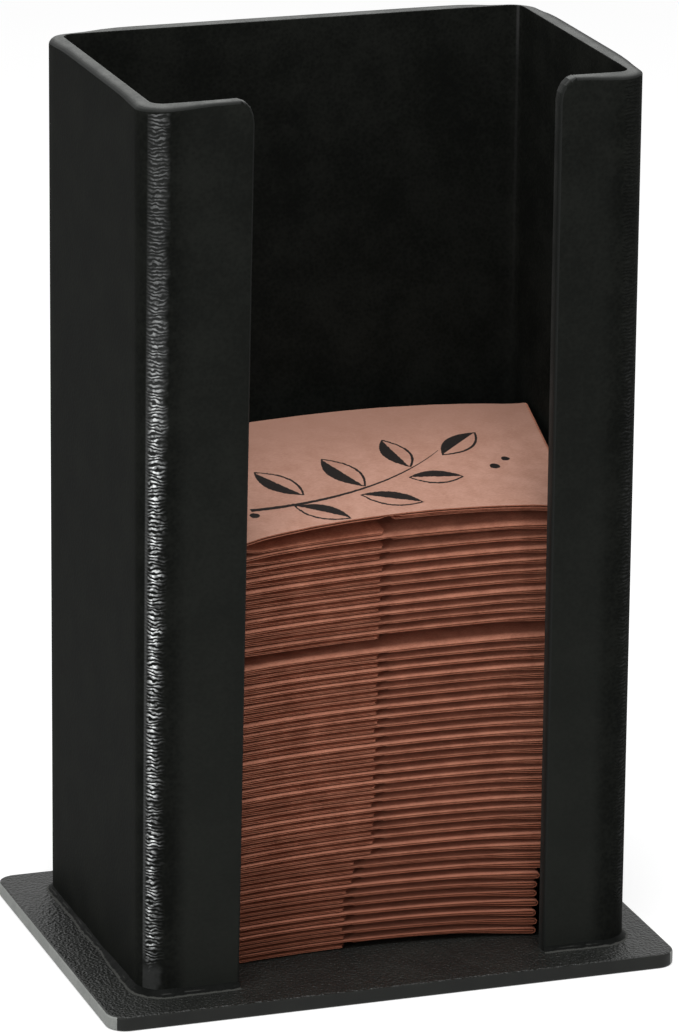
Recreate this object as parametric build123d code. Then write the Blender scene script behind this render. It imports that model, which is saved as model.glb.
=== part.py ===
from build123d import *
from math import atan, degrees, radians, sin
import os

# Countertop holder for folded cup sleeves: a bent sheet wall cemented to a flat base plate, with a
# stack of corrugated sleeves in it. Millimetres, origin under the middle of the base plate,
# X to the right and Y to the back as seen from the open front, Z up.

os.makedirs("parts", exist_ok=True)

# Holder
sheet = 4.5                 # thickness of the plastic sheet, wall and plate alike
wall_width = 152.0          # outside, across the front
wall_depth = 100.0          # outside, front to back
wall_height = 265.5         # above the base plate
bend_radius = 8.3           # outside of the heat bends
left_flange = 29.6          # outside width of each front flange at its foot
right_flange = 27.6
left_lean = 3.6             # how much wider the left one is at the top
flange_corner = 7.0         # free top corner of a flange
edge_break = 0.5            # hand-broken sawn edges

# Base plate: how far it stands out past the wall on each side
rim_left = 13.5
rim_right = 10.5
rim_front = 13.0
rim_back = 10.0
plate_corner = 6.0

# Solvent cement at the foot of the wall
bead_width = 2.6
bead_height = 2.2

# Folded sleeves
sleeve_count = 44
sleeve_thick = 2.55         # both layers, pressed flat
sleeve_gap = 0.35           # between two sleeves at the front edge
loose_top = (0.3, 0.3, 0.5, 0.5, 1.7, 4.25)     # how much further the topmost ones spring open
arch_radius = 2200.0        # of the top sleeve's upper layer, which bulges in the middle
end_room = 10.0             # spare length in the holder, both ends together
right_room = 0.9            # of which the sleeves leave this at the right end
finger_room = 14.7          # from the flanges to the middle of a sleeve's front edge
back_room = 9.8             # from the middle of its back edge to the wall
back_bow = 6.9              # rise of the long arched edge
front_bow = 6.5             # rise of the short arched edge, from the same centre
end_taper = 11.5            # how much shorter the front edge is, at each end
fold_thick = 0.95           # what is left of the thickness at a pressed fold
lap_step = 0.35             # the lower layer's right half is glued this much higher
lap_left = 2.5              # its left half ends this far left of the middle
springback = 0.2825         # extra height that each sleeve takes at its back edge
top_turn = 2.5              # degrees, the top sleeve against the lowest one

# Loose places in the stack, counted from the foot
foot_bundle = 7             # sleeves pushed to the left end
step_bundle = 3             # sleeves on them, part of the way to the left
step_share = 0.7            # what part
pushed_in = 32              # sleeves below the one that is pushed in
wall_near = 1.3             # what the pushed-in sleeve leaves at the back
jog = 0.4                   # small unevenness of every other sleeve
jog_turn = 0.25             # degrees

# Worked out from the above
bay_width = wall_width - 2 * sheet
bay_depth = wall_depth - 2 * sheet
plate_width = rim_left + wall_width + rim_right
plate_depth = rim_front + wall_depth + rim_back
wall_x = (rim_left - rim_right) / 2
wall_y = (rim_front - rim_back) / 2
half_back = (bay_width - end_room) / 2
half_front = half_back - end_taper
sleeve_depth = bay_depth - finger_room - back_room
pressed = sleeve_count - len(loose_top)
thicks = [sleeve_thick] * pressed + [sleeve_thick + more for more in loose_top]
through = 2 * sheet         # how far a cutter runs past what it cuts


def sheet_outline(inset):
    """Plan of the wall's bent sheet, its outer face moved in by an inset."""
    return Pos(wall_x, wall_y) * RectangleRounded(
        wall_width - 2 * inset, wall_depth - 2 * inset, bend_radius - inset)


def front_gap(height):
    """Everything between the flanges' free edges, as a cutter."""
    left = wall_x - wall_width / 2 + left_flange
    right = wall_x + wall_width / 2 - right_flange
    lean = left_lean * height / wall_height
    opening = make_face(Polyline((left, 0), (right, 0), (right, height), (left + lean, height), close=True))
    return Pos(0, wall_y - wall_depth / 2, 0) * extrude(Plane.XZ * opening, bend_radius + through, both=True)


def holder_wall():
    section = sheet_outline(0) - sheet_outline(sheet)
    wall = extrude(section, wall_height) - front_gap(wall_height)
    wall = Pos(0, 0, sheet) * wall
    top = wall.edges().filter_by(Axis.Y).group_by(Axis.Z)[-1]
    flange_ends = top.filter_by(lambda edge: edge.length < 1.5 * sheet)
    wall = fillet(flange_ends, flange_corner)
    rim = wall.faces().sort_by(Axis.Z)[-1].edges()
    return chamfer(rim.filter_by(lambda edge: edge.length > 1.5 * sheet), edge_break)


def base_plate():
    plate = extrude(RectangleRounded(plate_width, plate_depth, plate_corner), sheet)
    faces = plate.faces().sort_by(Axis.Z)
    return chamfer(faces[0].edges() + faces[-1].edges(), edge_break)


def foot_bead():
    """Sloping bead round the outside of the wall, stopped at the flanges' free edges."""
    slope = degrees(atan(bead_width / bead_height))
    bead = extrude(sheet_outline(-bead_width), bead_height, taper=slope)
    bead = bead - extrude(sheet_outline(0), bead_height) - front_gap(bead_height)
    return Pos(0, 0, sheet) * bead


def folded_sleeve(thick, arched):
    """One folded sleeve, the middle of its front edge at the origin."""
    shoulder = sleeve_depth - back_bow
    outline = make_face([
        ThreePointArc((-half_front, -front_bow), (0, 0), (half_front, -front_bow)),
        Line((half_front, -front_bow), (half_back, shoulder)),
        ThreePointArc((half_back, shoulder), (0, sleeve_depth), (-half_back, shoulder)),
        Line((-half_back, shoulder), (-half_front, -front_bow))])
    body = extrude(outline, thick)
    arch_drop = half_back ** 2 / (2 * arch_radius) if arched else 0
    bevel = (thick - arch_drop - fold_thick) / 2
    for level, size in ((0, bevel), (-1, thick - fold_thick - bevel)):
        ends = body.edges().filter_by(GeomType.LINE).filter_by(Axis.Z, reverse=True)
        body = chamfer(ends.group_by(Axis.Z)[level], size)
    if arched:
        crown = Rot(90, 0, 0) * Cylinder(arch_radius, 4 * sleeve_depth)
        body = body & Pos(0, 0, thick - arch_radius) * crown
    right_half = Box(half_back + lap_left, front_bow + sleeve_depth, lap_step, align=Align.MIN)
    return body - Pos(-lap_left, -front_bow, 0) * right_half


def sleeve_place(index):
    """Where a sleeve lies, counted from 0 at the foot of the stack."""
    share = index / (sleeve_count - 1)
    turn = top_turn * share + jog_turn * sin(3.1 * index)
    lean = degrees(atan((index + 1) * springback / sleeve_depth))
    swing = (sleeve_depth - back_bow) * sin(radians(top_turn * share))
    x = wall_x + bay_width / 2 - half_back - right_room + swing + jog * sin(2.4 * index)
    foot_shift = end_room - 2 * right_room
    if index < foot_bundle:
        x -= foot_shift
    elif index < foot_bundle + step_bundle:
        x -= foot_shift * step_share
    y = wall_y - bay_depth / 2 + finger_room
    z = sheet + sleeve_gap + sum(thick + sleeve_gap for thick in thicks[:index])
    slide = jog * sin(1.7 * index + 1)
    if index == pushed_in:
        slide = back_room - wall_near
    return Pos(x, y, z) * Rot(lean, 0, 0) * Rot(0, 0, turn) * Pos(0, slide, 0)


def save(shape, node):
    shape.label = node
    export_step(shape, f"parts/{node}.step")


save(holder_wall(), "holder_wall")
save(base_plate(), "base_plate")
save(foot_bead(), "foot_bead")
for index, thick in enumerate(thicks):
    sleeve = folded_sleeve(thick, arched=index == sleeve_count - 1)
    save(sleeve_place(index) * sleeve, f"sleeve_{index + 1:02d}")

print("top of the stack in front", round(sleeve_place(sleeve_count - 1).position.Z + thicks[-1], 1))
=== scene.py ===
import math
import bpy
import bmesh
from mathutils import Matrix, Vector, noise


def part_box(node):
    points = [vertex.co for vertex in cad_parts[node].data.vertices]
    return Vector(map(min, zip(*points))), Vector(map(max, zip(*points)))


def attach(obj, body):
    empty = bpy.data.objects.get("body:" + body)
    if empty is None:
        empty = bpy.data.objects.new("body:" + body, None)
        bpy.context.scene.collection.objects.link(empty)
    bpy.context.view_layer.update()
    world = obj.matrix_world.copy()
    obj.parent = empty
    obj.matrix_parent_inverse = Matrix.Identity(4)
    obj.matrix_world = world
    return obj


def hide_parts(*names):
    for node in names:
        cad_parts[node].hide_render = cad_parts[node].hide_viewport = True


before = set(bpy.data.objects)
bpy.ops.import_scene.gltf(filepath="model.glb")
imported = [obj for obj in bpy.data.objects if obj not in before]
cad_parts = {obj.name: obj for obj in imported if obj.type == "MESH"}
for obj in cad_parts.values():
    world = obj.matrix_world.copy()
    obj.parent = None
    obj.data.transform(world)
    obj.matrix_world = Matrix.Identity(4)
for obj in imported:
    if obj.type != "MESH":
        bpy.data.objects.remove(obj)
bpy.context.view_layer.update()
mm = 0.001
hair = 0.001 * mm               # nearer than this is the same place
whiteLight, noLight = (1, 1, 1, 1), (0, 0, 0, 1)


# shading helpers

class Wire:  # one shader output that takes Python's own maths signs
    def __init__(self, shades, output):
        self.shades = shades
        self.output = output

    def pin(self, name):  # another output of the same node
        return Wire(self.shades, self.output.node.outputs[name])

    def maths(self, operation, *values):
        settings = {"operation": operation}
        return self.shades.add("ShaderNodeMath", settings, dict(enumerate(values)))

    def __add__(self, other): return self.maths("ADD", self, other)
    def __radd__(self, other): return self.maths("ADD", other, self)
    def __sub__(self, other): return self.maths("SUBTRACT", self, other)
    def __rsub__(self, other): return self.maths("SUBTRACT", other, self)
    def __mul__(self, other): return self.maths("MULTIPLY", self, other)
    def __rmul__(self, other): return self.maths("MULTIPLY", other, self)
    def __truediv__(self, other): return self.maths("DIVIDE", self, other)
    def __rtruediv__(self, other): return self.maths("DIVIDE", other, self)
    def __pow__(self, other): return self.maths("POWER", self, other)
    def __abs__(self): return self.maths("ABSOLUTE", self)
    def least(self, other): return self.maths("MINIMUM", self, other)
    def most(self, other): return self.maths("MAXIMUM", self, other)
    def root(self): return self.maths("SQRT", self)

    def ramp(self, low, high):  # 0 below low, 1 above high, smooth between
        sockets = {"Value": self, "From Min": low, "From Max": high}
        return self.shades.add("ShaderNodeMapRange", {"interpolation_type": "SMOOTHSTEP"}, sockets)


class Shades:  # a node tree with one way of adding nodes
    def __init__(self, tree):
        self.tree = tree
        tree.nodes.clear()

    def add(self, kind, settings={}, sockets={}, output=0):
        node = self.tree.nodes.new(kind)
        for name, value in settings.items():
            setattr(node, name, value)
        for name, value in sockets.items():
            if isinstance(value, Wire):
                self.tree.links.new(value.output, node.inputs[name])
            else:
                node.inputs[name].default_value = value
        return Wire(self, node.outputs[output]) if len(node.outputs) else None

    def split(self, spot):
        parts = self.add("ShaderNodeSeparateXYZ", {}, {"Vector": spot})
        return parts.pin("X"), parts.pin("Y"), parts.pin("Z")

    def place(self):  # where on the piece, in metres, as a vector and as three numbers
        spot = self.add("ShaderNodeTexCoord").pin("Object")
        return spot, *self.split(spot)

    def stretch(self, spot, scale, turn=(0, 0, 0)):
        return self.add("ShaderNodeMapping", {}, {"Vector": spot, "Scale": scale, "Rotation": turn})

    def cloud(self, spot, size, detail=3, rough=0.55):  # noise with lumps of about this size
        sockets = {"Vector": spot, "Scale": 1 / size, "Detail": detail, "Roughness": rough}
        return self.add("ShaderNodeTexNoise", {}, sockets)

    def pebbles(self, spot, size):
        sockets = {"Vector": spot, "Scale": 1 / size, "Smoothness": 0.6}
        return self.add("ShaderNodeTexVoronoi", {"feature": "SMOOTH_F1"}, sockets)

    def blend(self, share, first, second):  # two colours by a share
        sockets = {0: share, 6: first, 7: second}
        return self.add("ShaderNodeMix", {"data_type": "RGBA"}, sockets, output=2)

    def bump(self, height, depth, **under):  # under: the Normal that it lies on, if not the face's own
        return self.add("ShaderNodeBump", {}, {"Height": height, "Distance": depth, **under})

    def surface(self, **sockets):
        named = {name.replace("_", " "): value for name, value in sockets.items()}
        shader = self.add("ShaderNodeBsdfPrincipled", {}, named)
        self.add("ShaderNodeOutputMaterial", {}, {"Surface": shader})


def newFinish(name):
    material = bpy.data.materials.new(name)
    material.use_nodes = True
    return material, Shades(material.node_tree)


# sizes of the bent wall

wallShape = {
    "sheet": 4.5 * mm,
    "bend": 8.3 * mm, "bendSteps": 14,      # outside of the bends
    "step": 5 * mm,             # the straight runs are cut into lengths of about this
    "leftFlange": 29.6 * mm,    # at the foot
    "leftLean": 3.6 * mm,       # how much wider that one is at the top
    "rightFlange": 27.6 * mm,
    "corner": 7 * mm, "cornerSteps": 4,     # free top corner of a flange
    "outerEdge": 1.1 * mm, "outerSteps": 4,     # sawn edges are rounded outside
    "innerEdge": 0.4 * mm, "innerSteps": 2,     # and only broken inside
    "endReach": 1.05,           # a free end's faces are within this share of the corner
    "topFacing": 0.15,          # faces that look up by more than this are sawn top
    "rimAngle": 0.9,            # radians, flatter edges aren't rounded
    "rimFrom": 1 * mm,          # nor are those at the foot
    "leftWorn": 0.7,            # the rim's outer edge is this much rounder at the left
    "rearCrisp": 0.65,          # and crisper at the back and right
    "dip": 1.0 * mm,            # how far the outer skin sinks at the top of a bend
    "dipReach": 9 * mm,
    "topBand": 12 * mm,         # the wall's top rows, which take the dip
    "sharp": 12,                # degrees, flatter edges are shaded smooth
}
wallLow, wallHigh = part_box("holder_wall")
wallMiddle = (wallLow + wallHigh) / 2
wallHalf = (wallHigh - wallLow) / 2
wallHeight = wallHigh.z - wallLow.z
plateTop = wallLow.z
flangeEnds = (wallLow.x + wallShape["leftFlange"], wallHigh.x - wallShape["rightFlange"])


# finishes of the holder; pairs of numbers are the ends of a ramp

sheetLook = {
    "black": (0.0066, 0.0072, 0.0064, 1),
    "worn": (0.0132, 0.0142, 0.0124, 1), "wornFrom": (0.35, 0.8), "wornLumps": 0.6, "wornGrain": 0.4,
    "pebbles": 0.75, "fine": 0.5, "fineSize": 0.6,      # what the grain is made of
    "lumps": 14 * mm, "grainShine": 0.12, "lumpShine": 0.1,
    "paintedGlow": (0.026, 0.028, 0.025, 1),      # painted reflection of the floor: a lighter tone on the front of the flanges
    "glowAtFoot": 0.54, "glowLostAtTop": 0.38,     # its share at the foot, and how much of it is lost at the top
    "glowDeep": (1 * mm, 4 * mm), "glowClear": 6 * mm, "glowFrom": 1 * mm,
    "bendGlint": (0.075, 0.075, 0.075, 1),     # painted highlight: a pale line inside the bends, stronger towards the top
    "glintStart": (0.36, 0.45), "glintEnd": (0.48, 0.57), "glintDeep": (4.0 * mm, 4.4 * mm),
    "glintTop": (0.248, 0.268), "glintTopShare": 0.38,
    "glintMiddle": (0.15, 0.24), "glintMiddleShare": 0.1,
    "wall": (1.1 * mm, 0.05 * mm, 0.62, 0.01),          # grain, its depth, roughness and shine
    "plate": (0.95 * mm, 0.6 * mm, 0.42, 0.38),
    "plateEdge": (5 * mm, 0.05 * mm, 0.5, 0.2),
}
stretchLook = {                 # painted highlight: pale, partly metallic streaks on the ridges outside the bends, in place of reflections
    "paintedHighlight": (0.80, 0.82, 0.82, 1), "metal": 0.6, "sheen": 0.3, "rightShare": 0.03,
    "footFrom": 0.36, "footTo": 0.74,       # part of a bend that has the painted highlight, from the side run to the flange
    "topFrom": 0.475, "topTo": 0.96,
    "startFade": (-0.01, 0.03), "endFade": (-0.06, 0.12), "ragged": 0.35, "raggedSize": 3.5 * mm,
    "coreStart": (0.0, 0.16), "coreEnd": (0.0, 0.28), "paleShare": 0.04,
    "ridge": 1.15 * mm,         # from one ridge to the next, up and down
    "ridgeDepth": 0.2 * mm, "ridgeFrom": (0.012, 0.02),
    "waveLength": 0.314,        # of the wave texture at scale 1
    "waveStretch": (0.9, 0.9, 1.0), "waveBend": 8.0,
    "waveDetail": 2.0, "detailScale": 1.3, "detailRough": 0.5,
    "crest": (0.3, 0.85), "brokenSize": 1.3 * mm, "broken": (0.34, 0.62), "unbroken": 0.2,
    "strip": (0.03, 0.10), "stripShare": 0.07,          # an even painted pale line where the painted highlight starts
    "dullHeight": (0.15, 0.23), "dull": 0.83, "haze": 0.10,     # the painted highlight is dimmer and more even above this height
    # the painted highlight dims near the foot, and an even painted haze lies at the very foot
    "footDim": (0.013, 0.019), "footLeft": 0.06, "footPlain": (0.011, 0.016), "footHaze": 0.035,
}
sawnLook = {                    # dark and light tone, and how far in from the outer face the rim carries painted shade
    "top": ((0.080, 0.083, 0.080, 1), (0.165, 0.168, 0.162, 1), 2.4 * mm),
    # painted shade: the upright end faces have the same sawn cut as the top, in far darker tones
    "end": ((0.016, 0.017, 0.016, 1), (0.036, 0.037, 0.035, 1), 3.6 * mm),
    "plate": ((0.24, 0.25, 0.24, 1), (0.36, 0.37, 0.35, 1)),
    # painted shade: the tone that the rim darkens to towards its outer face
    "skin": (0.009, 0.010, 0.009, 1), "fullShade": 0.1 * mm,
    "rear": (-6 * mm, -5 * mm), "rearUnshaded": 0.8,        # hardly any painted shade at the back
    "scratch": 0.7 * mm, "scratchDetail": 4, "scratchRough": 0.7, "scratchDepth": 0.04 * mm,
    "haze": 9 * mm, "evenly": 0.5, "spread": (0.3, 0.75), "roughness": 0.55, "shine": 0.1,
}
cementLook = {                  # heights in mm above the plate
    "clear": (0.0030, 0.0034, 0.0030, 1), "cloudy": (0.0070, 0.0076, 0.0070, 1),
    "lumps": 2.5 * mm, "lumpDepth": 0.25 * mm, "uneven": 0.5,
    # painted highlights: pale lines along the bead at these heights
    "rim": (0.052, 0.053, 0.049, 1), "rimHeight": 0.12, "rimFade": (0.10, 0.26),
    "second": 0.85, "upperGlintFade": (0.06, 0.2),          # a second painted highlight line higher up, in patches
    "upperGlintSize": 7 * mm, "upperGlintFrom": (0.5, 0.6), "upperGlintShare": 0.5,
    "roughness": 0.4, "roughLumps": 0.2, "shine": 0.03,
}


def bendPlace(x, y):  # share of a bend from the side run to the flange, and depth under the outer face
    radius = wallShape["bend"]
    pastX = (abs(x - wallMiddle.x) - (wallHalf.x - radius)).most(0)
    pastY = (abs(y - wallMiddle.y) - (wallHalf.y - radius)).most(0)
    return pastY / (pastX + pastY + hair), radius - (pastX * pastX + pastY * pastY).root()


def sheetSkin(shades, spot, grainSize):  # its grain, its tone, and how much its roughness varies
    look = sheetLook
    fine = shades.cloud(spot, grainSize * look["fineSize"], detail=2)
    grain = shades.pebbles(spot, grainSize) * look["pebbles"] + fine * look["fine"]
    lumps = shades.cloud(spot, look["lumps"], detail=2)
    worn = (lumps * look["wornLumps"] + grain * look["wornGrain"]).ramp(*look["wornFrom"])
    tone = shades.blend(worn, look["black"], look["worn"])
    return grain, tone, grain * look["grainShine"] + lumps * look["lumpShine"] - look["lumpShine"]


def makeSheetFinish(name, grainSize, depth, roughness, shine):
    look = sheetLook
    material, shades = newFinish(name)
    spot, x, y, z = shades.place()
    grain, tone, uneven = sheetSkin(shades, spot, grainSize)
    share, under = bendPlace(x, y)
    # painted reflection of the floor: the front of the flanges is lighter, most at the foot
    flat = (wallHalf.x - wallShape["bend"] - abs(x - wallMiddle.x)).ramp(0, look["glowClear"])
    above = z.ramp(plateTop, plateTop + look["glowFrom"])
    front = (1 - (y - wallLow.y).ramp(*look["glowDeep"])) * flat * above
    paintedLight = front * (look["glowAtFoot"] - z.ramp(0, wallHigh.z) * look["glowLostAtTop"])
    tone = shades.blend(paintedLight, tone, look["paintedGlow"])
    # painted highlight along the inside of the bends
    line = share.ramp(*look["glintStart"]) * (1 - share.ramp(*look["glintEnd"]))
    line = line * under.ramp(*look["glintDeep"])
    top = z.ramp(*look["glintTop"]) * look["glintTopShare"]
    middle = z.ramp(*look["glintMiddle"]) * look["glintMiddleShare"]
    tone = shades.blend(line * (top + middle), tone, look["bendGlint"])
    shades.surface(Base_Color=tone, Roughness=uneven + roughness, Normal=shades.bump(grain, depth),
                   Specular_IOR_Level=shine)
    return material


def makeStretchedFinish(grainSize, depth, roughness, shine):
    look = stretchLook
    material, shades = newFinish("stretchedSkin")
    spot, x, y, z = shades.place()
    grain, tone, uneven = sheetSkin(shades, spot, grainSize)
    share, _ = bendPlace(x, y)

    # where on a bend
    height = z * (1 / wallHeight)
    ragged = (shades.cloud(spot, look["raggedSize"], detail=2) - 0.5) * look["ragged"]
    fromStart = share - (height * (look["topFrom"] - look["footFrom"]) + look["footFrom"])
    toEnd = height * (look["topTo"] - look["footTo"]) + look["footTo"] + ragged - share
    zone = fromStart.ramp(*look["startFade"]) * toEnd.ramp(*look["endFade"])
    core = fromStart.ramp(*look["coreStart"]) * toEnd.ramp(*look["coreEnd"])

    # how much painted highlight
    ridges = shades.add("ShaderNodeTexWave", {"wave_type": "BANDS", "bands_direction": "Z"}, {
        "Vector": shades.stretch(spot, look["waveStretch"]), "Scale": look["waveLength"] / look["ridge"],
        "Distortion": look["waveBend"], "Detail": look["waveDetail"], "Detail Scale": look["detailScale"],
        "Detail Roughness": look["detailRough"]}, output=1)
    broken = shades.cloud(spot, look["brokenSize"], detail=2).ramp(*look["broken"])
    broken = broken * (1 - look["unbroken"]) + look["unbroken"]
    top = z.ramp(*look["dullHeight"])
    spread = core * (core + (1 - core) * top) * (1 - look["paleShare"]) + look["paleShare"]
    strip = (1 - fromStart.ramp(*look["strip"])) * look["stripShare"]
    crest = (ridges.ramp(*look["crest"]) * broken * spread + top * look["haze"]).most(strip)
    level = (1 - top * look["dull"]) * (z.ramp(*look["footDim"]) * (1 - look["footLeft"]) + look["footLeft"])
    foot = (1 - z.ramp(*look["footPlain"])) * look["footHaze"]
    # hardly any painted highlight on the right-hand bends
    side = (x - wallMiddle.x).ramp(-1 * mm, 1 * mm) * (1 - look["rightShare"])
    paintedHighlight = zone * (crest * level).most(foot) * (1 - side)

    raised = ridges * zone * z.ramp(*look["ridgeFrom"])
    normal = shades.bump(raised, look["ridgeDepth"], Normal=shades.bump(grain, depth))
    tone = shades.blend(paintedHighlight, tone, look["paintedHighlight"])
    rough = uneven + roughness - paintedHighlight * look["sheen"]
    shades.surface(Base_Color=tone, Metallic=paintedHighlight * look["metal"], Roughness=rough, Normal=normal,
                   Specular_IOR_Level=shine)
    return material


def makeSawnFinish(name, dark, light, shadeReach=0):
    look = sawnLook
    material, shades = newFinish(name)
    spot, x, y, _ = shades.place()
    scratch = shades.cloud(spot, look["scratch"], look["scratchDetail"], look["scratchRough"])
    haze = shades.cloud(spot, look["haze"], detail=2)
    tone = shades.blend((scratch * look["evenly"] + haze * look["evenly"]).ramp(*look["spread"]), dark, light)
    # painted shade: the rim darkens towards its outer face, except at the back
    if shadeReach:
        _, depth = bendPlace(x, y)
        rear = (y - wallHigh.y).ramp(*look["rear"])
        sawn = depth.ramp(look["fullShade"], shadeReach).most(rear * look["rearUnshaded"])
        tone = shades.blend(sawn, look["skin"], tone)
    normal = shades.bump(scratch, look["scratchDepth"])
    shades.surface(Base_Color=tone, Roughness=look["roughness"], Normal=normal,
                   Specular_IOR_Level=look["shine"])
    return material


def makeCementFinish():
    look = cementLook
    material, shades = newFinish("cement")
    spot, _, _, z = shades.place()
    lumps = shades.cloud(spot, look["lumps"])
    tone = shades.blend(lumps, look["clear"], look["cloudy"])
    height = (z - plateTop) * (1 / mm) + (lumps - 0.5) * look["uneven"]
    # painted highlight lines along the bead
    rim = 1 - abs(height - look["rimHeight"]).ramp(*look["rimFade"])
    patches = shades.cloud(spot, look["upperGlintSize"]).ramp(*look["upperGlintFrom"]) * look["upperGlintShare"]
    second = (1 - abs(height - look["second"]).ramp(*look["upperGlintFade"])) * patches
    tone = shades.blend(rim.most(second), tone, look["rim"])
    shades.surface(Base_Color=tone, Roughness=lumps * look["roughLumps"] + look["roughness"],
                   Normal=shades.bump(lumps, look["lumpDepth"]), Specular_IOR_Level=look["shine"])
    return material


# mesh helpers

def clamp(value, low, high):
    return min(max(value, low), high)


def newParts(result, kind):
    return [part for part in result["geom"] if isinstance(part, kind)]


def newVerts(result):
    return newParts(result, bmesh.types.BMVert)


def isLevel(edge):
    return abs(edge.verts[0].co.z - edge.verts[1].co.z) < hair


def isFacing(part):  # a part of a face's normal that says which way it mostly faces
    return part > 0.5


def roundOff(bm, parts, size, steps, affect="EDGES"):
    return bmesh.ops.bevel(bm, geom=parts, offset=size, offset_type="OFFSET", affect=affect,
                           segments=steps, profile=0.5, material=-1)


def makePiece(bm, name, finishes, body, nodes, sharp):
    mesh = bpy.data.meshes.new(name)
    bm.to_mesh(mesh)
    bm.free()
    for finish in finishes:
        mesh.materials.append(finish)
    mesh.shade_smooth()
    mesh.set_sharp_from_angle(angle=math.radians(sharp))
    piece = bpy.data.objects.new(name, mesh)
    bpy.context.scene.collection.objects.link(piece)
    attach(piece, body)
    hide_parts(*nodes)


def fromAxis(spot):  # in plan, from the nearest point of the rectangle that joins the four bend axes
    radius = wallShape["bend"]
    axis = Vector((clamp(spot.x, wallLow.x + radius, wallHigh.x - radius),
                   clamp(spot.y, wallLow.y + radius, wallHigh.y - radius)))
    return spot.xy - axis


def wallPath(bm, step):  # the sheet's outer face in plan, one rounded line in short runs
    low, high = wallLow, wallHigh
    turns = [(flangeEnds[0], low.y), (low.x, low.y), (low.x, high.y),
             (high.x, high.y), (high.x, low.y), (flangeEnds[1], low.y)]
    line = [bm.verts.new((x, y, low.z)) for x, y in turns]
    for first, second in zip(line, line[1:]):
        bm.edges.new((first, second))
    straight = 2 * wallShape["bend"] / wallShape["bendSteps"]       # longer than any part of a bend
    roundOff(bm, line[1:-1], wallShape["bend"], wallShape["bendSteps"], "VERTICES")
    for edge in [edge for edge in bm.edges if edge.calc_length() > straight]:
        bmesh.ops.subdivide_edges(bm, edges=[edge], cuts=int(edge.calc_length() / step))


# the wall, with its finishes in this order

wallSkin, wallBend, wallTop, wallEnd = range(4)


def endGap(spot):  # how far from the nearer free edge of a flange
    return min(abs(spot.x - end) for end in flangeEnds)


def isOuter(spot):  # in the outer half of the sheet's thickness
    return fromAxis(spot).length > wallShape["bend"] - wallShape["sheet"] / 2


def isFreeEnd(face):
    middle = face.calc_center_median()
    return isFacing(abs(face.normal.x)) and middle.y < wallLow.y + wallShape["sheet"] \
        and endGap(middle) < wallShape["corner"] * wallShape["endReach"]


def raiseSheet(bm):
    wallPath(bm, wallShape["step"])
    top = bm.edges[:]
    for step in (wallHeight - wallShape["topBand"], wallShape["topBand"]):
        raised = bmesh.ops.extrude_edge_only(bm, edges=top)
        bmesh.ops.translate(bm, verts=newVerts(raised), vec=(0, 0, step))
        top = [edge for edge in newParts(raised, bmesh.types.BMEdge) if isLevel(edge)]
    bmesh.ops.recalc_face_normals(bm, faces=bm.faces)
    side = min(bm.faces, key=lambda face: face.calc_center_median().x)
    if side.normal.x > 0:
        bmesh.ops.reverse_faces(bm, faces=bm.faces)
    bmesh.ops.solidify(bm, geom=bm.faces[:], thickness=wallShape["sheet"])
    bm.normal_update()


def roundCorners(bm):  # the free top corners of the flanges
    short = [edge for edge in bm.edges if all(
        abs(vertex.co.z - wallHigh.z) < hair and endGap(vertex.co) < hair
        and vertex.co.y < wallLow.y + 2 * wallShape["sheet"] for vertex in edge.verts)]
    roundOff(bm, short, wallShape["corner"], wallShape["cornerSteps"])
    bm.normal_update()


def chooseFinishes(bm):
    for face in bm.faces:
        middle = face.calc_center_median()
        away = fromAxis(middle)
        if isFreeEnd(face):
            face.material_index = wallEnd
        elif abs(face.normal.z) > wallShape["topFacing"]:
            face.material_index = wallTop
        elif min(abs(away.x), abs(away.y)) > 10 * hair and isOuter(middle):
            face.material_index = wallBend


def roundRims(bm):
    for side in ("outer", "inner"):
        rims = []
        for edge in bm.edges:
            sawn = {face.material_index in (wallTop, wallEnd) for face in edge.link_faces}
            if len(sawn) == 2 and edge.calc_face_angle() > wallShape["rimAngle"] and \
                    max(vertex.co.z for vertex in edge.verts) > wallLow.z + wallShape["rimFrom"]:
                middle = (edge.verts[0].co + edge.verts[1].co) / 2
                if isOuter(middle) == (side == "outer"):
                    rims.append(edge)
        rounded = roundOff(bm, rims, wallShape[side + "Edge"], wallShape[side + "Steps"])
        bm.normal_update()
        for face in rounded["faces"]:
            finish = wallEnd if isFreeEnd(face) else wallSkin
            face.material_index = wallTop if isFacing(face.normal.z) else finish


def wearRim(bm):  # how round the rim's outer edge is
    for vertex in bm.verts:
        away = fromAxis(vertex.co)
        inset, drop = wallShape["bend"] - away.length, wallHigh.z - vertex.co.z
        if max(inset, drop) < wallShape["outerEdge"] + hair:
            out = away.normalized()
            rear = max(out.x, 0) ** 2 + max(out.y, 0) ** 2
            change = wallShape["leftWorn"] * max(-out.x, 0) ** 2 - wallShape["rearCrisp"] * rear
            vertex.co.xy -= out * inset * change
            vertex.co.z -= drop * change


def leanFlange(bm):
    reach = wallShape["corner"] + wallShape["outerEdge"]
    for vertex in bm.verts:
        spot = vertex.co
        if spot.y < wallLow.y + 2 * wallShape["sheet"] and abs(spot.x - flangeEnds[0]) < reach:
            spot.x += wallShape["leftLean"] * (spot.z - wallLow.z) / wallHeight


def sinkBends(bm):
    radius, sheet = wallShape["bend"], wallShape["sheet"]
    bandFoot = wallHigh.z - wallShape["topBand"]
    for vertex in bm.verts:
        spot = vertex.co
        if spot.z < bandFoot + hair:
            continue
        outerShare = clamp((fromAxis(spot).length - (radius - sheet)) / sheet, 0, 1)
        away = max(wallHalf.x - radius - abs(spot.x - wallMiddle.x),    # from the nearest bend
                   wallHalf.y - radius - abs(spot.y - wallMiddle.y), 0)
        near = math.exp(-(away / wallShape["dipReach"]) ** 2)
        rise = (spot.z - bandFoot) / wallShape["topBand"]
        spot.z -= wallShape["dip"] * outerShare * near * rise ** 2


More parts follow.
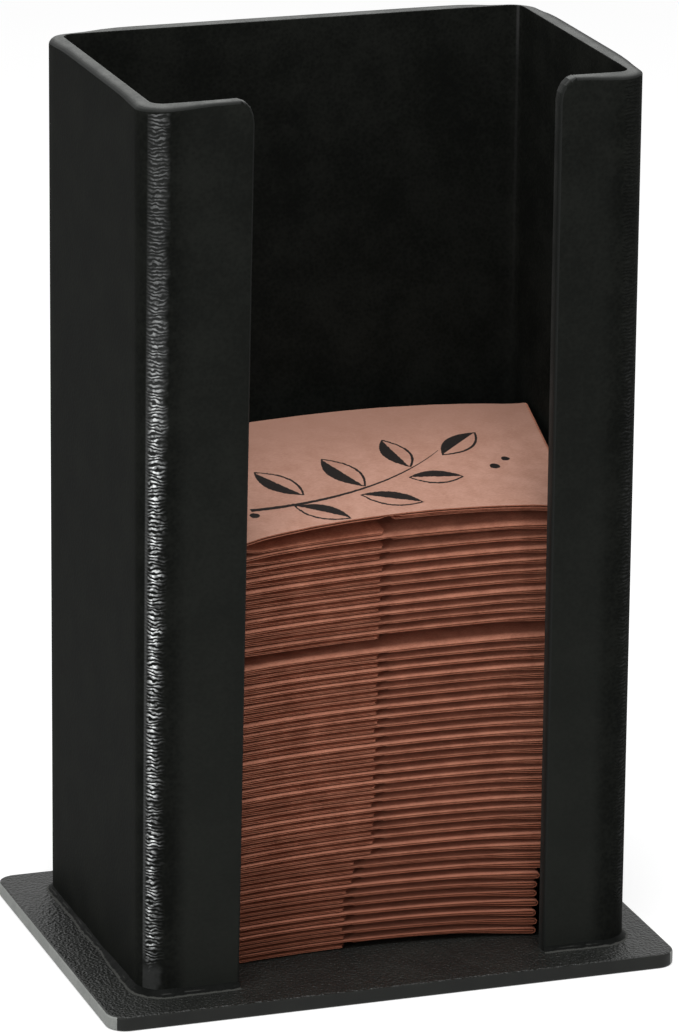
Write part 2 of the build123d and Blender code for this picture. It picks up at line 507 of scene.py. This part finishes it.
def buildWall():
    bm = bmesh.new()
    for shape in (raiseSheet, roundCorners, chooseFinishes, roundRims, wearRim, leanFlange, sinkBends):
        shape(bm)
    return bm


wallFinishes = [
    makeSheetFinish("grainedSheet", *sheetLook["wall"]), makeStretchedFinish(*sheetLook["wall"]),
    makeSawnFinish("sawnTop", *sawnLook["top"]), makeSawnFinish("shadedSawnEnd", *sawnLook["end"])]
makePiece(buildWall(), "bentWall", wallFinishes, "holder", ["holder_wall"], wallShape["sharp"])
print("wall built")


# the plate, with its finishes in this order

plateSkin, plateFront, plateSide = range(3)
plateShape = {
    "corner": 6 * mm, "cornerSteps": 9,
    "edge": 0.7 * mm, "edgeSteps": 2, "edgeAngle": 0.9,
    "sideFrom": 0.7,            # a face whose normal's x is more than this is the plate's left or right side
    "sharp": 12,
}
plateLow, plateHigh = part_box("base_plate")


def buildPlate():
    bm = bmesh.new()
    middle, size = (plateHigh + plateLow) / 2, plateHigh - plateLow
    bmesh.ops.create_cube(bm, size=1, matrix=Matrix.LocRotScale(middle, None, size))
    upright = [edge for edge in bm.edges if not isLevel(edge)]
    roundOff(bm, upright, plateShape["corner"], plateShape["cornerSteps"])
    bm.normal_update()
    for face in bm.faces:
        edge = plateSide if abs(face.normal.x) > plateShape["sideFrom"] else plateFront
        face.material_index = plateSkin if isFacing(abs(face.normal.z)) else edge
    rims = [edge for edge in bm.edges if edge.calc_face_angle() > plateShape["edgeAngle"]]
    roundOff(bm, rims, plateShape["edge"], plateShape["edgeSteps"])
    return bm


plateFinishes = [
    makeSheetFinish("plateSkin", *sheetLook["plate"]), makeSheetFinish("plateEdge", *sheetLook["plateEdge"]),
    makeSawnFinish("sawnPlate", *sawnLook["plate"])]
makePiece(buildPlate(), "footPlate", plateFinishes, "holder", ["base_plate"], plateShape["sharp"])
print("plate built")


beadShape = {
    "step": 2 * mm,
    "width": 1.7 * mm, "widths": (0.6 * mm, 2.5 * mm),      # on average, and the least and the most
    "height": 1.5 * mm, "heights": (0.5 * mm, 2.1 * mm),
    "profile": ((1.0, 0.0), (0.42, 0.36), (0.0, 1.0)),      # shares out along the plate and up the wall
    "swell": ((90, 0.35), (320, 0.2)), "heightSwell": 0.8,  # lumps a metre, and how much they add
    "corner": 16 * mm, "cornerWidth": 1 * mm, "cornerHeight": 0.5 * mm,     # thicker near the front left
    "sharp": 60,
}


def buildBead():
    shape = beadShape
    bm = bmesh.new()
    wallPath(bm, shape["step"])
    foot = bm.edges[:]
    loop = foot
    rows = []
    for _ in shape["profile"]:
        grown = bmesh.ops.extrude_edge_only(bm, edges=loop)
        fresh = newVerts(grown)
        loop = [edge for edge in newParts(grown, bmesh.types.BMEdge)
                if all(vertex in fresh for vertex in edge.verts)]
        rows.append((fresh, loop))
    for (fresh, _), (out, up) in zip(rows, shape["profile"]):
        for vertex in fresh:
            spot = vertex.co.copy()
            away = fromAxis(spot).normalized()
            swell = sum(noise.noise(spot * lumps) * share for lumps, share in shape["swell"])
            corner = math.exp(-((spot.xy - wallLow.xy).length / shape["corner"]) ** 2)
            width = shape["width"] * (1 + swell) + corner * shape["cornerWidth"]
            height = shape["height"] * (1 + swell * shape["heightSwell"]) + corner * shape["cornerHeight"]
            vertex.co.xy += away * clamp(width, *shape["widths"]) * out
            vertex.co.z += clamp(height, *shape["heights"]) * up
    bmesh.ops.bridge_loops(bm, edges=rows[-1][1] + foot)
    bmesh.ops.holes_fill(bm, edges=[edge for edge in bm.edges if edge.is_boundary], sides=0)
    bmesh.ops.recalc_face_normals(bm, faces=bm.faces)
    return bm


beadFinishes = [makeCementFinish()]
makePiece(buildBead(), "cementBead", beadFinishes, "holder", ["foot_bead"], beadShape["sharp"])
print("bead built")


# the sleeves, with their finishes in this order

kraftSkin, kraftEdge, shadedKraftCore, kraftPrint = range(4)
stack = {                       # as the sleeves lie in the holder, counted from the foot
    "count": 44, "thick": 2.55 * mm, "gap": 0.35 * mm,
    "looseTop": (0.3, 0.3, 0.5, 0.5, 1.7, 4.25),        # mm that the topmost ones spring open
    "lens": 0.45,               # share of that lost again at the ends
    "curl": 0.93,               # the springy folds lift the ends of the top ones, 1 / m
    "endRoom": 10 * mm, "rightRoom": 0.9 * mm, "fingerRoom": 14.7 * mm,
    "springback": 0.2825 * mm, "topTurn": 2.5,
    "footBundle": 7, "stepBundle": 3, "stepShare": 0.7,
    "pushedIn": 32, "pushedBy": 8.5 * mm,
    "jog": 0.4 * mm, "jogTurn": 0.25,       # small unevenness, by sines of a sleeve's number
    "sideWave": 2.4, "turnWave": 3.1, "slideWave": (1.7, 1),
    "lowerBundle": 33, "upperBundle": 10,
}
blank = {                       # one sleeve pressed flat, the middle of its front edge at the origin
    "halfFront": 55 * mm, "halfBack": 66.5 * mm, "depth": 66.5 * mm,
    "frontBow": 6.5 * mm, "backBow": 6.9 * mm,
    "flute": 1.1 * mm,          # half a wave of the corrugation
    "fluteLean": 0.27, "pocket": 0.45 * mm, "web": 0.07 * mm,       # its open ends
    "halfColumns": 56, "foldColumns": 5,
    "rows": (0, 0.7, 1.8, 5, 14, 33, 52, 61.5, 64.7, 65.8, 66.5),   # mm from the front edge
    "layer": 1 * mm,            # thickness while it is still a flat strip
    "liner": 0.33,              # share of that
    "fold": 0.975 * mm, "foldCore": 0.075 * mm, "foldMiddle": 1.275 * mm,
    "foldRise": 0.48,           # share of the opening that the folds rise by
    "pinch": 24 * mm, "openPinch": 13 * mm,     # the layers close up this near to a fold
    "pinchOpened": 3,           # mm of opening from which the second holds
    "crushReach": 1.5 * mm,     # die-cut edges are pressed thin
    "dent": -1.8 * mm, "dentHalf": 2.9 * mm, "dentDeep": 6 * mm,    # upper layer pressed at the seam
    "seamLeft": -3.0 * mm,      # end of the lower layer's left half
    "seamRight": -0.1 * mm,     # and of its right half at the cut edges
    "flap": -12 * mm, "flapFrom": (4 * mm, 14 * mm),    # how far the glue flap reaches behind
    "climbTo": -3.6 * mm,       # from here on it lies on the left half
    "rightLift": 0.72, "liftFrom": -10 * mm,    # it stays near to the upper layer where a sleeve is open
    "recessLeft": 0.3 * mm, "recessRight": 1.1 * mm,    # lower layer's edges stand back
    "tip": 1.3 * mm,            # its left half is rounded at the seam
    "edgeReach": 9 * mm,        # waves and recesses fade out this far from the cut edges
    "wave": 0.12 * mm, "waveScale": (38, 3.7, 1.3),     # along the sleeve, from sleeve to sleeve, and up
    "ragged": 0.12 * mm, "raggedScale": (110, 5.1, 4),
    "sharp": 40,
}
board = {                       # mm; a layer's outer and inner face above the sleeve's underside
    "upperOuter": 2.55, "upperThick": 1.05, "upperUneven": 0.1, "unevenScale": (3.7, 25),
    "upperFold": (2.25, 1.35), "lowerFold": (0.3, 1.2),
    "lip": 0.15, "crushed": 0.58, "swell": 0.22,        # board thickens by this share of the opening
    "dentLeaves": 0.5,
    "leftInner": 0.95, "leftEdge": 0.16, "leftTip": 0.18,
    "rightOuter": (0.35, 0.75), "rightInner": (1.3, 0.4),       # and how much higher at the cut edges
    "flap": (1.02, 1.5),
}


def openedBy(index):  # mm
    fromTop = stack["count"] - index
    return stack["looseTop"][-fromTop] if fromTop <= len(stack["looseTop"]) else 0.0


def openedBelow(index):
    return sum(openedBy(below) for below in range(index)) * mm


def openedAt(x, index):  # mm, less towards the ends
    return openedBy(index) * (1 - stack["lens"] * (x / blank["halfFront"]) ** 2)


def curlOf(index):  # how strongly a sleeve's ends are bent up, 1 / m
    flattened = stack["lens"] * openedBelow(index) / blank["halfFront"] ** 2
    return stack["curl"] * index / stack["count"] - flattened


def sleevePlace(index):
    share = index / (stack["count"] - 1)
    turn = stack["topTurn"] * share + stack["jogTurn"] * math.sin(stack["turnWave"] * index)
    lean = math.atan((index + 1) * stack["springback"] / blank["depth"])
    x = wallHigh.x - wallShape["sheet"] - blank["halfBack"] - stack["rightRoom"]
    x += (blank["depth"] - blank["backBow"]) * math.sin(math.radians(stack["topTurn"] * share))
    x += stack["jog"] * math.sin(stack["sideWave"] * index)
    shift = stack["endRoom"] - 2 * stack["rightRoom"]
    if index < stack["footBundle"]:
        x -= shift
    elif index < stack["footBundle"] + stack["stepBundle"]:
        x -= shift * stack["stepShare"]
    y = wallLow.y + wallShape["sheet"] + stack["fingerRoom"]
    z = wallLow.z + stack["gap"] + index * (stack["thick"] + stack["gap"]) + openedBelow(index)
    perSleeve, start = stack["slideWave"]
    slide = stack["jog"] * math.sin(perSleeve * index + start)
    if index == stack["pushedIn"]:
        slide = stack["pushedBy"]
    return Matrix.Translation((x, y, z)) @ Matrix.Rotation(lean, 4, "X") \
        @ Matrix.Rotation(math.radians(turn), 4, "Z") @ Matrix.Translation((0, slide, 0))


def between(first, second, share):
    return first + (second - first) * share


def smooth(value, low, high):
    share = clamp((value - low) / (high - low), 0, 1)
    return share * share * (3 - 2 * share)


def fading(distance, reach, power=2):  # 1 at no distance
    return math.exp(-(distance / reach) ** power)


def tipShare(x):  # 1 at the very end of the lower layer's left half
    return (1 - min((blank["seamLeft"] - x) / blank["tip"], 1)) ** 2


def layerFaces(x, half, toEdge, layer, index):  # heights of a layer's outer and inner face, in mm
    opened = openedBy(index)
    pinch = between(blank["pinch"], blank["openPinch"], min(opened / blank["pinchOpened"], 1))
    pinched = 1 - smooth(half - abs(x), 0, pinch)
    edge = fading(toEdge, blank["crushReach"])
    if layer == "upper":
        outer = board["upperOuter"] + openedAt(x, index) - board["lip"] * edge
        perSleeve, along = board["unevenScale"]
        uneven = noise.noise(Vector((index * perSleeve, x * along, 0)))
        thick = board["upperThick"] + board["swell"] * opened + board["upperUneven"] * uneven
        thick = between(thick, board["crushed"] + board["swell"] * opened / 2, edge)
        dent = fading(x - blank["dent"], blank["dentHalf"], 4) * fading(toEdge, blank["dentDeep"])
        inner = outer - between(thick, min(board["dentLeaves"], thick), dent)
    elif layer == "left":
        tip = board["leftTip"] * tipShare(x)
        outer = board["leftEdge"] * edge + tip
        inner = between(board["leftInner"], outer + board["crushed"], edge) - tip
    else:
        climb = 1 - smooth(x, blank["climbTo"], blank["seamRight"])
        lift = blank["rightLift"] * openedAt(x, index) * smooth(x, blank["liftFrom"], blank["seamRight"])
        outer, inner = (between(low + more * edge, flap, climb) + lift for (low, more), flap in zip(
            (board["rightOuter"], board["rightInner"]), board["flap"]))
    rise = opened * blank["foldRise"]
    foldOuter, foldInner = board["upperFold"] if layer == "upper" else board["lowerFold"]
    return between(outer, foldOuter + rise, pinched), between(inner, foldInner + rise, pinched)


def foldSpot(strip, index):  # from the flat strip to the folded sleeve
    shape = blank
    column = strip.x / shape["flute"]
    inward = 1 - strip.z / shape["layer"]
    share = clamp(strip.y / shape["depth"], 0, 1)
    half = between(shape["halfFront"], shape["halfBack"], share)
    toEdge = min(strip.y, shape["depth"] - strip.y)
    turnIn = half - shape["fold"]
    n, m = shape["halfColumns"], shape["foldColumns"]
    if column <= n:
        layer, x = "left", between(shape["seamLeft"], -turnIn, column / n)
        recess = shape["recessLeft"] + shape["tip"] * tipShare(x)
    elif column < n + m:
        layer, angle, side = "fold", math.pi * (column - n) / m, -1
    elif column <= 3 * n + m:
        layer, x, recess = "upper", between(-turnIn, turnIn, (column - n - m) / (2 * n)), 0
    elif column < 3 * n + 2 * m:
        layer, angle, side = "fold", math.pi * (1 - (column - 3 * n - m) / m), 1
    else:
        end = between(shape["seamRight"], shape["flap"], smooth(toEdge, *shape["flapFrom"]))
        layer, x = "right", between(turnIn, end, (column - 3 * n - 2 * m) / n)
        recess = between(shape["recessLeft"], shape["recessRight"], smooth(half - abs(x), 0, shape["pinch"]))
    raised = 1 if layer == "upper" else 0
    if layer == "fold":
        radius = between(shape["fold"], shape["foldCore"], inward)
        x = side * (turnIn + radius * math.sin(angle))
        z = shape["foldMiddle"] + openedBy(index) * shape["foldRise"] * mm - radius * math.cos(angle)
        raised = (1 - math.cos(angle)) / 2
        recess = shape["recessLeft"] * (1 - raised)
    else:
        z = between(*layerFaces(x, half, toEdge, layer, index), inward) * mm
    wave, ragged = (noise.noise(Vector((x * along, index * perSleeve, raised * up)))
                    for along, perSleeve, up in (shape["waveScale"], shape["raggedScale"]))
    near = fading(toEdge, shape["edgeReach"])
    z += curlOf(index) * x * x + wave * shape["wave"] * near
    push = (recess + ragged * shape["ragged"]) * near
    y = strip.y + (push if strip.y < shape["depth"] / 2 else -push)
    bow = between(shape["frontBow"], shape["backBow"], share)
    arc = (half * half + bow * bow) / (2 * bow)
    return Vector((x, y - arc + math.sqrt(arc * arc - min(x * x, half * half)), z))


def buildStrip():  # the board laid out flat, with its corrugation open at both cut edges
    shape = blank
    columns = 4 * shape["halfColumns"] + 2 * shape["foldColumns"]
    lastRow = len(shape["rows"]) - 1
    bm = bmesh.new()
    bmesh.ops.create_grid(bm, x_segments=columns, y_segments=lastRow, size=1)
    for vertex in bm.verts:
        vertex.co.x = round((vertex.co.x + 1) / 2 * columns) * shape["flute"]
        vertex.co.y = shape["rows"][round((vertex.co.y + 1) / 2 * lastRow)] * mm
    top = bm.faces[:]
    for step, share in enumerate((shape["liner"], 1 - 2 * shape["liner"], shape["liner"])):
        raised = bmesh.ops.extrude_face_region(bm, geom=top, use_keep_orig=step == 0)
        bmesh.ops.translate(bm, verts=newVerts(raised), vec=(0, 0, share * shape["layer"]))
        top = newParts(raised, bmesh.types.BMFace)
    bmesh.ops.recalc_face_normals(bm, faces=bm.faces)
    middle = shape["layer"] / 2
    cut = []
    for face in bm.faces:
        face.material_index = kraftSkin if isFacing(face.normal.z) else kraftEdge
        # the corrugation's cut faces take the core finish with painted shade
        if isFacing(abs(face.normal.y)) and abs(face.calc_center_median().z - middle) < 0.1 * shape["layer"]:
            face.material_index = shadedKraftCore
            cut.append(face)
    core = {vertex for face in cut for vertex in face.verts}
    for vertex in core:                                  # the webs lean left and right in turn
        column = round(vertex.co.x / shape["flute"])
        if 0 < column < columns:
            lean = 1 if (column % 2 == 0) == (vertex.co.z > middle) else -1
            vertex.co.x += shape["fluteLean"] * shape["flute"] * lean
    bmesh.ops.inset_individual(bm, faces=cut, thickness=shape["web"], depth=-shape["pocket"])
    return bm


def buildSleeve(strip, index, printed):
    bm = strip.copy()
    first = (blank["halfColumns"] + blank["foldColumns"]) * blank["flute"]
    last = first + 2 * blank["halfColumns"] * blank["flute"]
    if printed:
        for face in bm.faces:
            if face.material_index == kraftSkin and first < face.calc_center_median().x < last:
                face.material_index = kraftPrint
    place = sleevePlace(index)
    for vertex in bm.verts:
        vertex.co = place @ foldSpot(vertex.co, index)
    return bm


kraftLook = {
    "skin": ((0.55, 0.24, 0.155, 1), (0.33, 0.125, 0.078, 1)),      # light and dark tone
    "edge": ((0.56, 0.22, 0.135, 1), (0.28, 0.088, 0.048, 1)),
    # painted shade: the corrugation's cut faces are far darker than the board, for the shade in the flute
    # hollows
    "core": ((0.15, 0.045, 0.024, 1), (0.08, 0.022, 0.012, 1)),
    "printed": ((0.555, 0.312, 0.238, 1), (0.42, 0.216, 0.153, 1)),
    "shade": (0.30, 0.158, 0.115, 1),       # painted shade on the printed one, darker towards its back
    "shadeFrom": (22 * mm, 66 * mm), "shadeShare": 0.75,
    "fibre": 0.35 * mm, "fibreDetail": 4, "fibreRough": 0.65, "fibreDepth": 0.03 * mm,
    "fibreStretch": (0.35, 1.0, 1.0), "fibreTurn": (0, 0, 0.3),
    "mottle": 6 * mm, "fibreShare": 0.55, "mottleShare": 0.45, "spread": (0.3, 0.7),
    "fleck": 0.8 * mm, "fleckFrom": (0.66, 0.74), "fleckShare": 0.35,
    "footHeight": (0.005, 0.055), "footShare": 0.2,     # painted shade: the stack is darker towards the foot
    "ink": (0.012, 0.009, 0.008, 1), "inkSize": 1.1 * mm, "inkRagged": 0.7,
    "inkWorn": (0.62, 0.72), "inkLost": 0.25,
    "roughness": 0.86, "inkSheen": 0.25, "shine": 0.25,
}
sprig = {                       # print on the top sleeve, in mm on its face
    "stemCentre": (-34, 104), "stemRadius": 92, "stemFrom": -41, "stemTo": 27, "stemWide": 0.75,
    "stemFoot": 1.15, "stemEnds": 40, "outline": 0.42, "vein": 0.25, "crisp": 5,
    "leaves": ((-27, 26, 118, 19, 8.5), (-21, 6, -40, 17, 8), (-6, 28, 108, 20, 9), (2, 9, -28, 18, 8),
               (14, 36, 96, 18, 8), (20, 19, -10, 16, 7.5), (35, 38, 38, 19, 8)),
    "berries": ((-46, 16, 1.9), (-43, 22.5, 1.5), (-41, 9, 1.5), (40, 22, 1.6), (45, 26, 1.3)),
}


def inkShare(shades, x, y):  # 1 where the ink is
    centre, radius = sprig["stemCentre"], sprig["stemRadius"]
    fromStem = abs(((x - centre[0]) ** 2 + (y - centre[1]) ** 2).root() - radius)
    along = (x - sprig["stemFrom"]) * (1 / (sprig["stemTo"] - sprig["stemFrom"]))
    stem = sprig["stemWide"] * (sprig["stemFoot"] - along) - fromStem
    ink = stem.least(along * sprig["stemEnds"]).least((1 - along) * sprig["stemEnds"])
    for leafX, leafY, angle, length, wide in sprig["leaves"]:
        cosine, sine = math.cos(math.radians(angle)), math.sin(math.radians(angle))
        run = ((x - leafX) * cosine + (y - leafY) * sine) * (2 / length)
        side = (y - leafY) * cosine - (x - leafX) * sine
        inside = (1 - run * run) * (wide / 2) - abs(side)
        ink = ink.most(sprig["outline"] - abs(inside))
        ink = ink.most(inside.least(side - sprig["vein"]))       # one half of a leaf is filled
    for berryX, berryY, size in sprig["berries"]:
        ink = ink.most(size - ((x - berryX) ** 2 + (y - berryY) ** 2).root())
    return (ink * sprig["crisp"] + 0.5).ramp(0, 1)


def makeKraftFinish(name, light, dark, printed=False):
    look = kraftLook
    material, shades = newFinish(name)
    spot, _, _, z = shades.place()
    grain = shades.stretch(spot, look["fibreStretch"], look["fibreTurn"])
    fibre = shades.cloud(grain, look["fibre"], look["fibreDetail"], look["fibreRough"])
    mottle = shades.cloud(spot, look["mottle"])
    flecks = shades.cloud(spot, look["fleck"], detail=2).ramp(*look["fleckFrom"])
    share = (fibre * look["fibreShare"] + mottle * look["mottleShare"]).ramp(*look["spread"])
    # painted shade towards the foot of the stack
    foot = z.ramp(*look["footHeight"]) * (1 - look["footShare"]) + look["footShare"]
    tone = shades.blend(share * foot, dark, light)
    tone = shades.blend(flecks * look["fleckShare"], tone, dark)
    rough = look["roughness"]
    if printed:
        back = sleevePlace(stack["count"] - 1).inverted()
        local = shades.add("ShaderNodeMapping", {}, {
            "Vector": spot, "Rotation": back.to_euler("XYZ"), "Location": back.translation})
        x, y, _ = shades.split(local)
        # painted shade towards the back of the printed face
        tone = shades.blend(y.ramp(*look["shadeFrom"]) * look["shadeShare"], tone, look["shade"])
        ragged = (shades.cloud(spot, look["inkSize"]) - 0.5) * look["inkRagged"]
        ink = inkShare(shades, x * (1 / mm) + ragged, y * (1 / mm) + ragged)
        worn = 1 - fibre.ramp(*look["inkWorn"]) * look["inkLost"]
        tone = shades.blend(ink * worn, tone, look["ink"])
        rough = rough - ink * look["inkSheen"]
    shades.surface(Base_Color=tone, Roughness=rough, Normal=shades.bump(fibre, look["fibreDepth"]),
                   Specular_IOR_Level=look["shine"])
    return material


kraftFinishes = [
    makeKraftFinish("kraftSkin", *kraftLook["skin"]), makeKraftFinish("kraftEdge", *kraftLook["edge"]),
    makeKraftFinish("shadedKraftCore", *kraftLook["core"])]
printedFinish = makeKraftFinish("kraftPrinted", *kraftLook["printed"], printed=True)
strip = buildStrip()
for index in range(stack["count"]):
    if index < stack["lowerBundle"]:
        body = "lower_bundle"
    elif index < stack["lowerBundle"] + stack["upperBundle"]:
        body = "upper_bundle"
    else:
        body = "top_sleeve"
    printed = body == "top_sleeve"
    finishes = kraftFinishes + [printedFinish] * printed
    makePiece(buildSleeve(strip, index, printed), f"foldedSleeve{index + 1:02d}", finishes, body,
              [f"sleeve_{index + 1:02d}"], blank["sharp"])
strip.free()
print("sleeves built")


studio = {                      # a lamp's place, aim, size and power
    "keyLamp": ((-0.15, -0.45, 1.6), (0, 0, 0.15), (1.0, 1.0), 20),
    "sideLamp": ((-1.09, -0.88, 0.40), (0, 0, 0.13), (0.3, 0.8), 4),
    "world": 0.38, "backdrop": 1.0,         # the light it gives, and how bright it looks
    "floor": (0.6, 0.6, 0.6, 1), "floorLift": 0.62, "floorHalf": 6,
}


def seenByEye(shades):
    light = shades.add("ShaderNodeLightPath")
    seen = light.pin("Is Camera Ray").most(light.pin("Is Glossy Ray"))
    return seen.most(light.pin("Is Transmission Ray"))


def makeWorld():
    world = bpy.data.worlds.new("studio")
    world.use_nodes = True
    bpy.context.scene.world = world
    shades = Shades(world.node_tree)
    glow, plain = (shades.add("ShaderNodeBackground", {}, {"Color": whiteLight, "Strength": strength})
                   for strength in (studio["world"], studio["backdrop"]))
    both = shades.add("ShaderNodeMixShader", {}, {0: seenByEye(shades), 1: glow, 2: plain})
    shades.add("ShaderNodeOutputWorld", {}, {"Surface": both})


def makeFloor():
    bm = bmesh.new()
    bmesh.ops.create_grid(bm, x_segments=2, y_segments=2, size=studio["floorHalf"])
    mesh = bpy.data.meshes.new("floor")
    bm.to_mesh(mesh)
    bm.free()
    material, shades = newFinish("paleFloor")
    matt = shades.add("ShaderNodeBsdfDiffuse", {}, {"Color": studio["floor"]})
    none, lift = (shades.add("ShaderNodeEmission", {}, {"Color": colour, "Strength": strength})
                  for colour, strength in ((noLight, 0.0), (whiteLight, studio["floorLift"])))
    eye = shades.add("ShaderNodeMixShader", {}, {0: seenByEye(shades), 1: none, 2: lift})
    both = shades.add("ShaderNodeAddShader", {}, {0: matt, 1: eye})
    shades.add("ShaderNodeOutputMaterial", {}, {"Surface": both})
    mesh.materials.append(material)
    floor = bpy.data.objects.new("floor", mesh)
    bpy.context.scene.collection.objects.link(floor)


def makeLamp(name):
    place, aim, size, power = studio[name]
    lamp = bpy.data.lights.new(name, "AREA")
    lamp.energy = power
    lamp.shape = "RECTANGLE"
    lamp.size, lamp.size_y = size
    holder = bpy.data.objects.new(name, lamp)
    bpy.context.scene.collection.objects.link(holder)
    holder.location = place
    holder.rotation_euler = (Vector(place) - Vector(aim)).to_track_quat("Z", "Y").to_euler()


shot = {
    "azimuth": -19.054, "elevation": 17.2877, "roll": 0.5563,
    "aim": (0.0013, 0.0, 0.12986), "distance": 1.8315, "lens": 215.97, "sensor": 36,
}


def makeCamera():
    camera = bpy.data.cameras.new("camera")
    camera.sensor_width = shot["sensor"]
    camera.lens = shot["lens"]
    eye = bpy.data.objects.new("camera", camera)
    bpy.context.scene.collection.objects.link(eye)
    turn = Matrix.Rotation(math.radians(shot["azimuth"]), 3, "Z") \
        @ Matrix.Rotation(math.radians(90 - shot["elevation"]), 3, "X") \
        @ Matrix.Rotation(math.radians(shot["roll"]), 3, "Z")
    eye.rotation_euler = turn.to_euler()
    eye.location = Vector(shot["aim"]) + turn @ Vector((0, 0, shot["distance"]))
    bpy.context.scene.camera = eye


makeWorld()
makeFloor()
makeLamp("keyLamp")
makeLamp("sideLamp")
makeCamera()
bpy.context.scene.view_settings.view_transform = "Standard"
print("stage set")
